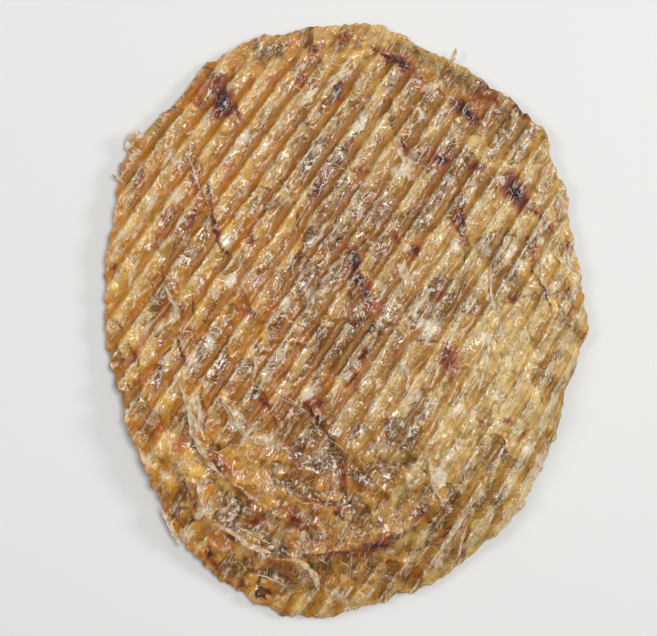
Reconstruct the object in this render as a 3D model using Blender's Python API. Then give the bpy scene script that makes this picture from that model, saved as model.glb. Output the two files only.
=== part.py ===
"""Dried filefish: one large sheet of fish, pressed between ridged rollers and roasted.

The sheet is a shallow, uneven dome that stands on parts of its rim, ridged face up.
Lengths are metres. +X and +Y lie in the plane of the sheet and +Z is up.
The origin is the middle of the sheet's footprint, at the height of what it rests on.
"""

import math

import bmesh
import bpy
import numpy as np
from mathutils import Matrix, noise

MM = 0.001
NODE = "filefish_sheet"

# The rim seen from above, anticlockwise from the right-hand side, in millimetres.
RIM_POINTS = [
    (107.4, -2), (105.5, 12), (96, 62), (77, 95), (26, 126.5), (9, 130.5), (-30, 128), (-60, 114.5),
    (-71, 100), (-96, 76), (-101, 56), (-106.5, 9), (-100, -33), (-80, -83.5), (-69, -101),
    (-51.5, -116.5), (-32, -127.5), (-14, -131), (6, -127.5), (41, -115), (67.5, -93.5), (80.5, -78),
    (91, -56), (102, -15),
]
RIM_WAVES = [(16 * MM, 1.3 * MM), (6 * MM, 0.9 * MM)]  # wavelength and height of the torn rim's waves

# The press marks: a steep flank, a crest, and a long slope down to the next flank.
RIDGE_PITCH = 9.6 * MM
RIDGE_DEPTH = 2.3 * MM
RIDGE_ANGLE = math.radians(56.5)  # the way the ridges run, from +X
RIDGE_SHIFT = 1.4 * MM  # how far from the origin the nearest crest passes
RIDGE_FAN = 0.48  # how much closer the ridges stand for each metre along them
TROUGH = 0.72  # where the trough lies, from one crest (0) to the next (1)
COLUMN_STEPS = (0.0, 0.22, 0.48, TROUGH, 0.86)  # where the mesh has a column in each ridge
ROWS = 24
ROW_SLANT = 0.3  # how much closer the rows stand at the lumpy end of the ridges than at the other
SHORTEST_COLUMN = 40 * MM
WEAK_RIDGES = [  # centre, radii and lost share of the depth, where the press hardly marked the fish
    ((-16 * MM, -80 * MM), (58 * MM, 33 * MM), 0.85),
    ((-2 * MM, 132 * MM), (60 * MM, 20 * MM), 0.7),
    ((-45 * MM, -112 * MM), (45 * MM, 16 * MM), 0.6),
]

# The curl of the whole sheet.
CROWN = 17 * MM  # how far the middle stands above the lowest part of the rim
RIM_LIFTS = [  # direction, width and height in millimetres of the parts of the rim that stand clear
    (40, 30, 2.5), (150, 30, 4.5), (212, 30, 9.0), (302, 18, 1.5),
]
CAMBER = 2.4  # how round the dome is; a larger power is flat on top and steep at its rim
STEEP_SIDE = math.radians(-30)
STEEP_WIDTH = math.radians(40)
STEEP_CAMBER = 8.0

# The flesh.
THICKNESS = 1.9 * MM
RIM_THICKNESS = 0.9 * MM
RIM_TAPER = 9 * MM
LUMPS = [(42 * MM, 0.9 * MM), (19 * MM, 0.45 * MM)]  # wavelength and height
FOLD = [  # the swollen seam where the pressed fillets overlap, in millimetres
    (-73, -57), (-61, -82), (-45, -96), (-29, -106), (-7, -102), (12, -96), (26, -91), (40, -80),
]
FOLD_HEIGHT = 2.0 * MM
FOLD_WIDTH = 5.5 * MM


def closed_curve(points, steps=12):
    """A smooth closed curve through the points, as an array of points on it."""
    p = np.array(points, float)
    before, after, beyond = np.roll(p, 1, 0), np.roll(p, -1, 0), np.roll(p, -2, 0)
    curve = []
    for u in np.linspace(0, 1, steps, endpoint=False):
        curve.append(0.5 * (2 * p + (after - before) * u
                            + (2 * before - 5 * p + 4 * after - beyond) * u**2
                            + (3 * p - before - 3 * after + beyond) * u**3))
    return np.stack(curve, 1).reshape(-1, 2)


def perlin(x, y, wavelength, layer=0.0):
    """Smooth noise from about -1 to 1 at each point; the same layer gives the same noise."""
    points = np.stack([np.ravel(x), np.ravel(y)], 1) / wavelength
    return np.array([noise.noise((a, b, layer)) for a, b in points]).reshape(np.shape(x)) * 1.6


def rim_radius(angle):
    """Distance from the origin to the torn rim in each direction."""
    curve = closed_curve(RIM_POINTS) * MM
    turn = np.arctan2(curve[:, 1], curve[:, 0])
    order = np.argsort(turn)
    radius = np.interp(angle, turn[order], np.hypot(*curve.T)[order], period=2 * math.pi)
    x, y = radius * np.cos(angle), radius * np.sin(angle)
    for wavelength, height in RIM_WAVES:
        radius = radius + height * perlin(x, y, wavelength, 7.3)
    return radius


def bump(angle, direction, width):
    """1 in the given direction, falling to 0 on both sides of it."""
    off = np.angle(np.exp(1j * (angle - direction)))
    return np.exp(-((off / width) ** 2))


def dome(x, y):
    """Height of the sheet's middle surface, before ridges and lumps."""
    angle = np.arctan2(y, x)
    share = np.clip(np.hypot(x, y) / rim_radius(angle), 0, 1)
    power = CAMBER + (STEEP_CAMBER - CAMBER) * bump(angle, STEEP_SIDE, STEEP_WIDTH)
    height = CROWN * (1 - share**power)
    for direction, width, lift in RIM_LIFTS:
        height = height + lift * MM * share**2 * bump(angle, math.radians(direction), math.radians(width))
    return height


def fold_share(x, y):
    """1 on the seam between the fillets, falling to 0 away from it."""
    nearest = np.full(np.shape(x), 1.0)
    seam = np.array(FOLD) * MM
    for (ax, ay), (bx, by) in zip(seam, seam[1:]):
        run = np.hypot(bx - ax, by - ay)
        at = np.clip(((x - ax) * (bx - ax) + (y - ay) * (by - ay)) / run**2, 0, 1)
        nearest = np.minimum(nearest, np.hypot(x - ax - at * (bx - ax), y - ay - at * (by - ay)))
    return np.exp(-((nearest / FOLD_WIDTH) ** 2))


def ridge_wave(phase):
    """1 on a crest and 0 in a trough, for a position counted in ridges."""
    part = phase - np.floor(phase)
    falling = 0.5 + 0.5 * np.cos(math.pi * part / TROUGH)
    rising = 0.5 - 0.5 * np.cos(math.pi * (part - TROUGH) / (1 - TROUGH))
    return np.where(part < TROUGH, falling, rising)


def ridge_share(x, y):
    """How much of the full ridge depth the press left at each point."""
    left = np.ones(np.shape(x))
    for (cx, cy), (rx, ry), lost in WEAK_RIDGES:
        away = ((x - cx) / rx) ** 2 + ((y - cy) / ry) ** 2
        left = left * (1 - lost * np.exp(-(away**2)))
    return left * (0.92 + 0.25 * perlin(x, y, 26 * MM, 2.1))


def to_plan(across, along):
    """Turns distances across and along the ridges into positions."""
    c, s = math.cos(RIDGE_ANGLE), math.sin(RIDGE_ANGLE)
    return across * s + along * c, along * s - across * c


def walk_across(phases, along):
    """Distance across for each column (a position in ridges) and each distance along.

    A step from column to column covers less ground where the sheet slopes.
    """
    start = int(np.argmin(np.abs(phases)))
    table = np.full((len(phases), len(along)), RIDGE_SHIFT)
    for way in (1, -1):
        column = start
        while 0 <= column + way < len(phases):
            flat = (phases[column + way] - phases[column]) * RIDGE_PITCH / (1 + RIDGE_FAN * along)
            middle, small = table[column] + flat / 2, 0.5 * MM
            rise = dome(*to_plan(middle + small, along)) - dome(*to_plan(middle - small, along))
            table[column + way] = table[column] + flat / np.hypot(1, rise / (2 * small))
            column += way
    return table


def inside(across, along):
    """How far inside the rim a point lies, negative outside it."""
    x, y = to_plan(across, along)
    return rim_radius(np.arctan2(y, x)) - np.hypot(x, y)


def lay_out(steps, rows):
    """Grid of positions across, along and in ridges that fills the rim; its columns follow the ridges."""
    phases = np.array([ridge + step for ridge in range(-16, 17) for step in steps])
    along = np.linspace(-150 * MM, 150 * MM, 301)
    share = np.linspace(0, 1, rows)
    columns = []
    for phase, across in zip(phases, walk_across(phases, along)):
        depth = inside(across, along)
        within = np.flatnonzero(depth > 0)
        if len(within) < 2 or along[within[-1]] - along[within[0]] < SHORTEST_COLUMN:
            continue
        first, last = within[0], within[-1]
        low = np.interp(0, depth[[first - 1, first]], along[[first - 1, first]])
        high = np.interp(0, depth[[last + 1, last]], along[[last + 1, last]])
        spread = low + (high - low) * (share * (1 - ROW_SLANT) + share**2 * ROW_SLANT)
        columns.append((np.interp(spread, along, across), spread, np.full(rows, phase)))
    across, along, phase = (np.array(c) for c in zip(*columns))
    across[0] = out_to_rim(across[0], along[0], -1)
    across[-1] = out_to_rim(across[-1], along[-1], 1)
    return across, along, phase


def out_to_rim(across, along, way):
    """Moves the points of a column across until they meet the rim; the way is 1 or -1."""
    near, far = np.zeros(len(across)), np.full(len(across), 9 * MM)
    for _ in range(20):
        middle = (near + far) / 2
        outside = inside(across + way * middle, along) < 0
        near, far = np.where(outside, near, middle), np.where(outside, middle, far)
    return across + way * near


def sheet_heights(x, y, phase):
    """Height of the top face and thickness below it at each point."""
    top = dome(x, y) + RIDGE_DEPTH * ridge_share(x, y) * ridge_wave(phase) + FOLD_HEIGHT * fold_share(x, y)
    for layer, (wavelength, height) in enumerate(LUMPS):
        top = top + height * perlin(x, y, wavelength, layer)
    depth = rim_radius(np.arctan2(y, x)) - np.hypot(x, y)
    thin = np.exp(-np.clip(depth, 0, None) / RIM_TAPER)
    return top, THICKNESS + (RIM_THICKNESS - THICKNESS) * thin


def make_sheet():
    """The sheet as one closed solid: a grid shaped into the top face, with a wall and an underside."""
    across, along, phase = lay_out(COLUMN_STEPS, ROWS)
    columns, rows = across.shape
    bpy.ops.mesh.primitive_grid_add(x_subdivisions=columns - 1, y_subdivisions=rows - 1, size=1)
    sheet = bpy.context.object
    sheet.name = sheet.data.name = NODE

    shape = bmesh.new()
    shape.from_mesh(sheet.data)
    grid = np.array([v.co for v in shape.verts]) + 0.5
    column = np.rint(grid[:, 0] * (columns - 1)).astype(int)
    row = np.rint(grid[:, 1] * (rows - 1)).astype(int)
    x, y = to_plan(across[column, row], along[column, row])
    top, thickness = sheet_heights(x, y, phase[column, row])
    below = shape.verts.layers.float.new("thickness")
    for v, place, thick in zip(shape.verts, zip(x, y, top), thickness):
        v.co = place
        v[below] = thick
    made = bmesh.ops.extrude_face_region(shape, geom=shape.faces[:], use_keep_orig=True)
    for v in made["geom"]:
        if isinstance(v, bmesh.types.BMVert):
            v.co.z -= v[below]
    bmesh.ops.recalc_face_normals(shape, faces=shape.faces[:])
    bmesh.ops.triangulate(shape, faces=shape.faces[:])
    shape.verts.layers.float.remove(below)
    shape.to_mesh(sheet.data)
    shape.free()
    return sheet


def stand_at_origin(sheet):
    """Moves the mesh so that its footprint is centred on the origin and its lowest point is at height 0."""
    corners = np.array([v.co for v in sheet.data.vertices])
    low, high = corners.min(0), corners.max(0)
    sheet.data.transform(Matrix.Translation((-(low[0] + high[0]) / 2, -(low[1] + high[1]) / 2, -low[2])))


def dried_fish():
    """Golden, half glossy flesh."""
    material = bpy.data.materials.new("dried_fish")
    material.use_nodes = True
    surface = material.node_tree.nodes["Principled BSDF"]
    surface.inputs["Base Color"].default_value = (0.47, 0.26, 0.10, 1)
    surface.inputs["Roughness"].default_value = 0.38
    surface.inputs["Metallic"].default_value = 0.0
    return material


def main():
    for old in list(bpy.data.objects):
        bpy.data.objects.remove(old)
    parts = bpy.data.collections.new("dried_filefish")
    bpy.context.scene.collection.children.link(parts)
    sheet = make_sheet()
    stand_at_origin(sheet)
    sheet.data.materials.append(dried_fish())
    for home in list(sheet.users_collection):
        home.objects.unlink(sheet)
    parts.objects.link(sheet)
    sheet.data.shade_smooth()
    sheet.data.set_sharp_from_angle(angle=math.radians(65))


main()
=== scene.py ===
"""Looks of one large round sheet of dried, pressed and roasted filefish.

The sheet is rebuilt fine enough to show its press ridges, crumpled skin, overlapping flesh and torn rim.
Shreds, fibres and loose skin lie on it. Lengths are metres and +Z is up.
"""

import math
import random

import bmesh
import bpy
import numpy as np
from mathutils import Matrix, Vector, noise


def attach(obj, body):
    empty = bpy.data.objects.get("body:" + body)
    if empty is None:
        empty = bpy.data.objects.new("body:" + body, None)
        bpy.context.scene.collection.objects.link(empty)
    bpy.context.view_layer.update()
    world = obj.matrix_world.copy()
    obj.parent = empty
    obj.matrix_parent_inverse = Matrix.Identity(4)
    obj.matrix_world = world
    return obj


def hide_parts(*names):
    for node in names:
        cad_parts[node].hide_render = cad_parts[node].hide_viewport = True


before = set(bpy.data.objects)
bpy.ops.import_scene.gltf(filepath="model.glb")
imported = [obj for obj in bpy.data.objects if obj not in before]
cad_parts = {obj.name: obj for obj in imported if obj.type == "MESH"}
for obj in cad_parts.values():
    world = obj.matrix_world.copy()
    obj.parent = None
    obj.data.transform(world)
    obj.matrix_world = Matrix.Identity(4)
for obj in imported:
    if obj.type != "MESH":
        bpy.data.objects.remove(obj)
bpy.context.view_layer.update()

MM = 0.001
NODE = "filefish_sheet"
BODY = "root"

# ---------------------------------------------------------------- the sheet's form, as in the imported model

RIM_POINTS = [  # anticlockwise from the right-hand side, in millimetres
    (107.4, -2), (105.5, 12), (96, 62), (77, 95), (26, 126.5), (9, 130.5), (-30, 128), (-60, 114.5),
    (-71, 100), (-96, 76), (-101, 56), (-106.5, 9), (-100, -33), (-80, -83.5), (-69, -101),
    (-51.5, -116.5), (-32, -127.5), (-14, -131), (6, -127.5), (41, -115), (67.5, -93.5), (80.5, -78),
    (91, -56), (102, -15),
]
RIM_WAVES = [(16 * MM, 1.3 * MM), (6 * MM, 0.9 * MM)]  # wavelength and height
FRINGE_WAVES = [(3.1 * MM, 0.8 * MM), (1.6 * MM, 0.4 * MM)]  # finer tearing of the rim

RIDGE_PITCH = 9.6 * MM
RIDGE_DEPTH = 2.3 * MM
RIDGE_ANGLE = math.radians(56.5)
RIDGE_SHIFT = 1.4 * MM
RIDGE_FAN = 0.48
TROUGH = 0.72
WEAK_RIDGES = [  # centre, radii and lost share of the depth
    ((-16 * MM, -80 * MM), (58 * MM, 33 * MM), 0.85),
    ((-2 * MM, 132 * MM), (60 * MM, 20 * MM), 0.7),
    ((-45 * MM, -112 * MM), (45 * MM, 16 * MM), 0.6),
]

CROWN = 17 * MM
RIM_LIFTS = [(40, 30, 2.5), (150, 30, 4.5), (212, 30, 9.0), (302, 18, 1.5)]  # direction, width, millimetres
CAMBER = 2.4
STEEP_SIDE = math.radians(-30)
STEEP_WIDTH = math.radians(40)
STEEP_CAMBER = 8.0

THICKNESS = 1.9 * MM
RIM_THICKNESS = 0.6 * MM
RIM_TAPER = 9 * MM
LEAST_THICKNESS = 0.35 * MM
LUMPS = [(42 * MM, 0.9 * MM), (19 * MM, 0.45 * MM)]
FOLD = [(-73, -57), (-61, -82), (-45, -96), (-29, -106), (-7, -102), (12, -96), (26, -91), (40, -80)]
FOLD_HEIGHT = 2.0 * MM
FOLD_WIDTH = 5.5 * MM

# ---------------------------------------------------------------- finer form, made here only

COLUMNS_PER_RIDGE = 14
ROWS = 300
SHORTEST_COLUMN = 40 * MM
LAST_REACH = 9 * MM  # how far the outermost columns move out to meet the rim, at most
PAD_LENGTH = 15 * MM
PAD_MIDDLE = 0.2  # in ridges, from the crest
PANE_LENGTH = 5.4 * MM
SLAB_SIZE = 22 * MM
COARSE_PUCKER = 4.8 * MM
FINE_PUCKER = 2.1 * MM
LOOSE_LUMP = 7.5 * MM
FRILL_WIDTH = 5 * MM
FRILL_HEIGHT = 1.1 * MM
SPOT_FADE = 1.7
UNDER_SHIFT = 0.4  # sets the underside's patterns apart from those of the top
TOP_KEPT = 0.73  # share of the top face's triangles that are kept
UNDER_KEPT = 0.14

# Edges where one piece of flesh overlaps the next, in millimetres: points along the edge with the raised
# side on their left, how high it stands, how wide the rise is, how dark its foot is (a crack with painted
# shade) and how pale its lip is (pale skin with a painted highlight).
SEAMS = [
    ([(-60, 60), (-58.5, 50), (-57.5, 41), (-55.5, 35), (-51, 30)], 1.1, 5, 1.0, 0.3),
    ([(-80, 21), (-78, 14), (-76, 10), (-73, 5)], 0.8, 4, 0.8, 0.2),
    ([(12, 121), (19, 118), (24, 114), (30, 111), (36, 106), (42, 102), (48, 96), (54, 89)],
     1.1, 6, 0.7, 0.4),
    ([(20, 97), (21.5, 87), (24, 80), (28, 74), (30, 69), (28, 61)], 1.1, 5, 0.8, 0.5),
    ([(-21, 42), (-22.5, 50), (-25, 58), (-31, 62)], 0.9, 6, 0.8, 0.6),
    ([(-45, 15), (-41, 6), (-38, 1), (-30, -1)], 0.8, 4, 0.6, 0.3),
    ([(-19, -3), (-24, 1), (-31, 5)], 0.7, 5, 0.2, 0.9),
    ([(-31, -9), (-24, -9), (-18, -10)], 0.6, 4, 0.7, 0.2),
    ([(14, 3), (11, 10), (8, 20), (6, 27), (1, 32)], 0.7, 4, 0.3, 0.3),
    ([(19, 43), (24, 35), (29, 30), (34, 23)], 0.6, 4, 0.3, 0.7),
    ([(43, -10), (36, -9), (31, -8)], 0.8, 6, 0.8, 0.8),
    ([(33, -8), (38, -1), (42, 6)], 0.3, 2, 0.7, 0.2),
    ([(73, -12), (69, -5), (66, 3), (63, 11), (62, 22)], 0.9, 5, 0.6, 0.9),
    ([(82, 22), (85, 19), (88, 14), (90, 8)], 0.9, 5, 0.9, 0.5),
    ([(50, 62), (51, 50), (52, 41), (56, 33)], 0.7, 4, 0.8, 0.3),
    ([(-36, -30), (-33, -38), (-30, -45)], 0.6, 4, 0.8, 0.2),
    ([(-18, -35), (-14, -41), (-10, -46), (-6, -51)], 1.1, 5, 1.0, 0.3),
    ([(-73, -29), (-69, -36), (-67, -44), (-66, -52), (-61, -60), (-48, -73), (-40, -79)],
     1.1, 7, 0.7, 1.0),
    ([(-63, -30), (-62, -38), (-62, -46)], 0.6, 3, 0.9, 0.4),
    ([(-74, -63), (-70, -70), (-67, -78), (-67, -87)], 1.0, 6, 0.5, 0.8),
    ([(-34, -103), (-42, -100), (-47, -95), (-52, -91), (-60, -86)], 1.2, 5, 0.9, 1.0),
    ([(-1, -87), (-5, -82), (-10, -80), (-18, -79), (-26, -75)], 1.0, 5, 0.9, 0.7),
    ([(-30, -86), (-24, -88), (-17, -91)], 0.7, 4, 0.9, 0.2),
    ([(-12, -102), (0, -101), (8, -99), (16, -97), (23, -94), (30, -90)], 1.0, 5, 0.9, 0.4),
    ([(-9, -119), (-12, -114), (-16, -109), (-22, -105), (-31, -104)], 1.1, 6, 0.4, 0.8),
    ([(43, -107), (43, -99), (47, -93), (51, -87), (55, -81)], 1.0, 4, 0.8, 0.9),
    ([(51, -107), (51, -99), (53, -91), (56, -85)], 0.8, 3, 0.8, 0.7),
    ([(78, 53), (84, 48), (91, 41)], 0.6, 4, 0.8, 0.3),
    ([(-73, -8), (-72, -15), (-69, -20)], 0.7, 4, 1.0, 0.5),
    ([(-66.5, 11), (-66, 3)], 0.5, 4, 0.8, 0.2),
    ([(-12, 99), (-5, 105), (2, 112)], 0.8, 4, 0.3, 1.0),
    ([(48, 77), (49, 69), (47, 60)], 0.6, 3, 0.6, 0.7),
    ([(24, -19), (27, -24), (27, -30)], 0.6, 3, 0.4, 0.9),
    ([(44, -38), (48, -32), (53, -27)], 0.5, 3, 0.5, 0.8),
    ([(0, -54), (5, -62), (11, -68), (17, -75)], 0.7, 4, 0.5, 0.6),
    ([(-54, -35), (-51, -40), (-47, -46), (-43, -51), (-38, -54), (-33, -53)], 0.8, 3, 0.3, 1.0),
    ([(-85, -58), (-79, -61), (-72, -62)], 0.8, 5, 0.5, 0.7),
    ([(36, -62), (38, -72), (42, -80)], 0.8, 4, 0.4, 1.0),
    ([(80, 37), (83, 30), (82, 24)], 0.6, 3, 0.8, 0.3),
    ([(-66, 76), (-63, 69), (-64, 62), (-61, 52)], 0.8, 4, 0.6, 0.5),
    ([(-30, 126), (-27, 118), (-30, 108)], 0.5, 4, 0.4, 0.6),
    ([(-12, 122), (-6, 116), (-1, 110)], 0.6, 4, 0.5, 0.7),
    ([(-44, -65), (-36, -60), (-26, -62)], 0.7, 6, 0.5, 0.2),
    ([(10, -45), (14, -55), (12, -66)], 0.5, 4, 0.4, 0.3),
    ([(-95, -10), (-91, -17), (-90, -26)], 0.7, 5, 0.8, 0.3),
    ([(100, 22), (93, 26), (88, 33)], 0.7, 5, 0.4, 0.7),
]
# Roasted spots: x, y, half length, half width (mm), turn of the length from +X (degrees), how dark.
ROASTED = [
    (-55, 98, 8, 5, 105, 1.0), (-55, 106, 4, 4, 0, 0.6), (-48, 93, 6, 1.8, -65, 0.75),
    (-3, 102, 4.6, 2.2, 60, 1.0), (-57, 42, 9, 1.1, -80, 0.7), (-13, 58, 6, 2.2, 75, 0.85),
    (-66, 64, 8, 2.2, -75, 0.5), (-67, 47, 8, 2.2, 65, 0.6), (53, 93, 9, 3.5, -48, 1.0),
    (42, 71, 4.5, 4, 0, 0.95), (57, 68, 5, 2, -10, 0.75), (75, 57, 9, 4.4, -55, 1.0),
    (72, 64, 3, 3, 0, 0.7), (86, 46, 6.5, 1.3, -42, 0.75), (51, 46, 9, 1.9, -85, 0.85),
    (48, 46, 3, 3, 0, 0.6), (22, 36, 3.4, 1.8, -60, 0.75), (30, 31, 3.2, 2.8, 0, 0.8),
    (27, 76, 5, 0.9, -60, 0.6), (62, 104, 4, 1.6, -25, 1.0), (77, 93, 4.6, 2, -35, 0.9),
    (3, 27, 5.5, 2.6, -75, 1.15), (5.5, 19, 6, 3.4, -62, 0.9), (9, 11, 7, 2.6, -55, 0.8),
    (45, -16, 5.5, 3.6, 110, 0.66), (100, 5, 3.6, 1.5, 72, 0.62), (41, 12, 4, 1.6, 80, 0.5),
    (73, 10, 2.8, 1.8, 0, 0.8), (3, -25, 5, 2, 70, 0.7), (7, -16, 3.6, 1.6, 60, 0.75),
    (-1, -102, 7, 1.6, 3, 0.7), (13, -99, 6, 2.2, 12, 0.9), (22, -94, 6, 1.5, 30, 0.7),
    (45, -93, 3.6, 2.2, 60, 0.85), (51, -102, 5, 1.7, 75, 0.7), (-1, -65, 4.4, 1.9, 80, 0.75),
    (31, -112, 4.6, 1.6, 10, 0.5), (-13, -41, 7, 0.9, -58, 1.1), (-11, -36, 3.6, 2.6, 0, 0.65),
    (-35, -36, 4.6, 2.2, -40, 0.9), (-55, -63, 7, 3, -48, 0.55), (-66, -80, 8, 2.2, -80, 0.5),
    (-41, -88, 3.6, 1.6, 0, 0.7), (-23, -88, 3.2, 1.5, -10, 1.0), (-50, -95, 5, 1.7, -42, 0.7),
    (-15, -97, 3.2, 2.2, 0, 0.6), (-38, -103, 6, 2.6, -15, 0.4), (-82, -75, 2.8, 2.2, 0, 0.5),
    (-71, -16, 4.6, 0.9, -60, 0.8), (-70, -6, 3.4, 2.4, 0, 0.5), (-43, 5, 5, 1.6, -60, 0.55),
    (-38, -10, 3.4, 0.9, 75, 0.75), (23, 115, 11, 3, -30, 0.9), (-1, 127, 2.8, 1.4, 0, 0.6),
    (-13, 121, 2.6, 1.6, 0, 0.65), (-20, 107, 3, 1.5, 0, 0.5), (99, 33, 6, 1, -80, 0.6),
    (-57, -107, 5, 1.4, -60, 0.6), (-60, -102, 3, 1.2, -70, 0.8), (-73, 97, 4, 1.2, 55, 0.6),
    (-102, 24, 2.2, 1.3, 60, 0.8), (-8, -80, 9, 1.4, -12, 0.7), (-3, -84, 3, 1.4, -40, 0.95),
    (-94, -15, 3.4, 1.2, 60, 0.6), (6, 66, 3.4, 2.2, 0, 0.6), (-10, 65, 3, 2, 0, 0.55),
    (37, 74, 3, 4, 0, 0.45), (64, 100, 6, 2, -30, 0.45), (67, 97, 3, 1.5, -30, 0.6),
    (82, 85, 3, 2, -60, 0.4), (50, 38, 5, 1.3, -60, 0.7), (83, 30, 5, 1, 85, 0.6),
    (-28, -22, 5, 4, 30, 0.35), (-52, -27, 4, 3, 0, 0.35), (-10, 94, 5, 1.6, 60, 0.6),
    (14, 48, 4, 1.4, 60, 0.45), (-42, 36, 2.6, 1.4, 60, 0.55), (-84, 34, 2.4, 1.6, 0, 0.45),
    (32, -84, 5, 3, 30, 0.45), (-62, -44, 4, 0.9, 85, 0.6), (70, -43, 2.6, 2, 0, 0.5),
    (78, -50, 4, 1.6, 40, 0.45), (42, -85, 3, 1, 60, 0.4), (-37, -121, 2.8, 1.4, -20, 0.9),
]
# Translucent orange-red spots, in the same terms.
BLUSHED = [
    (-63, 102, 9, 3, 52, 0.9), (37, -55, 3.4, 2, 25, 1.0), (-82, -45, 3.6, 2, 80, 0.9),
    (-73, -54, 4.6, 2.2, 85, 1.0), (-26, -82, 4.4, 3, 60, 0.8), (-94, 3, 5, 2.4, 45, 0.8),
    (-88, -22, 7, 3, 56, 0.6), (-67, 58, 9, 3, -75, 0.7), (-83, 40, 9, 2.6, 60, 0.5),
    (-78, 3, 5, 5, 0, 0.6), (10, 8, 7, 4, -55, 0.7), (33, 104, 12, 4, -35, 0.5), (60, 96, 10, 5, -35, 0.6),
    (36, 57, 7, 3, 50, 0.4), (-13, 118, 12, 4, 10, 0.4), (-90, 62, 10, 2.5, 60, 0.7),
    (-52, 66, 6, 2, 60, 0.8), (20, -14, 8, 4, 60, 0.5), (-53, -64, 8, 4, -45, 0.8),
    (-58, -76, 5, 3, -50, 0.7), (-42, -88, 7, 2.6, 0, 0.8), (-54, -97, 9, 4, -45, 0.6),
    (-46, 5, 5, 3, -50, 0.6), (-33, 5, 4, 3, 0, 0.6), (-35, -38, 8, 5, -50, 0.6),
    (-12, -38, 6, 5, -50, 0.6), (14, -98, 12, 4, 15, 0.6), (30, 33, 6, 6, 0, 0.5), (42, 70, 7, 6, 0, 0.5),
    (72, 62, 6, 5, 0, 0.5), (46, -18, 7, 6, 0, 0.6), (52, -95, 3, 8, 0, 0.6), (-85, -48, 6, 10, 0, 0.45),
    (-90, -10, 8, 4, 60, 0.5), (-30, 107, 6, 3, 0, 0.5), (7, 66, 5, 3.5, 0, 0.5), (-70, -6, 5, 4, 0, 0.7),
    (31, -111, 8, 3, 0, 0.5),
]
# Pale, dry patches of skin, and one painted highlight at (-8, -1), in the same terms.
PALE = [
    (-45, 80, 3.4, 2.8, 0, 1.0), (-18, 98, 4.4, 2.6, 30, 0.9), (-4, 107, 6.5, 2, 40, 1.0),
    (-52, 36, 4, 3, 56, 0.7), (-51, 18, 3, 2.8, 0, 1.0), (-26, 8, 5, 2.5, 56, 0.8),
    (-60, -8, 3.6, 2, -60, 1.0), (-74, -24, 3.6, 1, 60, 0.9), (-17, -31, 3.8, 2.8, 60, 1.0),
    (-75, 3, 4.6, 2.2, 60, 0.9), (-77, 11, 4, 1.2, -65, 0.9), (25, 22, 6.2, 1.8, -75, 0.9),
    (36, -3, 6, 4.4, 60, 0.9), (33, 8, 7, 1.8, 56, 0.9), (25, 67, 6, 3, 40, 0.9),
    (23, 77, 5, 1.5, -80, 0.8), (57, 49, 6, 2, 56, 0.8), (62, -8, 5, 3, 60, 0.6),
    (37, 103, 3.6, 2, 10, 1.0), (33, 92, 6, 1.4, -40, 0.8), (6, 87, 7, 2.2, 60, 0.9),
    (15, 86, 6, 1.8, 60, 0.7), (41, -68, 6.5, 2.4, -85, 1.0), (40, -86, 3, 2.6, 0, 0.6),
    # (-8, -1) is a painted highlight, a glint
    (-63, -84, 2.6, 1.8, 45, 1.0), (-8, -1, 2.2, 1.8, 0, 0.8), (-78, 72, 7, 2, 56, 0.8),
    (-75, 55, 4.4, 3.6, 40, 0.7), (-86, 52, 7, 2, 56, 0.6), (-92, 40, 6, 1.6, 60, 0.6),
    (-9, 41, 7, 1.6, 56, 0.7), (-16, 12, 6, 1.8, 56, 0.7), (-5, 18, 6, 1.6, 56, 0.6),
    (72, 30, 7, 2.4, 56, 0.7), (48, 35, 3, 6, 0, 0.6), (-35, -52, 8, 3, -20, 0.6),
    (-47, -40, 6, 1.8, -50, 0.7), (-65, -40, 8, 1.6, -70, 0.7), (-60, -10, 3, 4, 0, 0.7),
    (14, 18, 4, 2.4, 60, 0.6), (-40, -18, 5, 2, -50, 0.7), (76, 25, 4, 2, 30, 0.7),
    (85, 36, 3, 2, 60, 0.7), (50, -39, 4, 3, 0, 0.7), (46, -58, 4, 3, 0, 0.6),
    (80, -56, 3.4, 2.4, 30, 0.9), (66, -32, 4, 3, 0, 0.6), (60, -76, 3, 3, 0, 0.6),
    (64, -84, 4, 2, 60, 0.6), (30, -33, 4, 3, 40, 0.7), (-12, -58, 4, 3, 0, 0.5), (4, -39, 4, 3, 0, 0.5),
    (15, -38, 4, 4, 0, 0.5), (17, -54, 4, 4, 0, 0.5), (-3, -122, 5, 2, -60, 0.7),
    (-15, -114, 3, 4, 0, 0.5), (-88, -3, 7, 2, 50, 0.6), (-95, 18, 7, 1.5, 60, 0.6),
    (-79, -17, 4, 3, 0, 0.6), (-67, -17, 5, 4, 30, 0.6), (-80, 34, 7, 2, 56, 0.6),
    (-70, 35, 7, 2, 56, 0.5), (-33, 68, 7, 1.5, 56, 0.6), (-36, 78, 7, 1.8, 60, 0.6),
    (-24, 89, 4, 2, 0, 0.5), (-62, 88, 4, 2, 60, 0.6), (80, 62, 5, 2, 60, 0.6), (88, 66, 6, 2, 60, 0.5),
    (-79, -68, 6, 3, -40, 0.6), (-89, -60, 5, 2, -50, 0.7), (-68, -92, 4, 3, 0, 0.5),
    (-45, 56, 6, 2, 56, 0.5), (62, 30, 5, 2.4, 56, 0.5), (5, 50, 6, 1.6, 56, 0.6),
    (17, 52, 8, 1.4, 56, 0.5),
]
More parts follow.
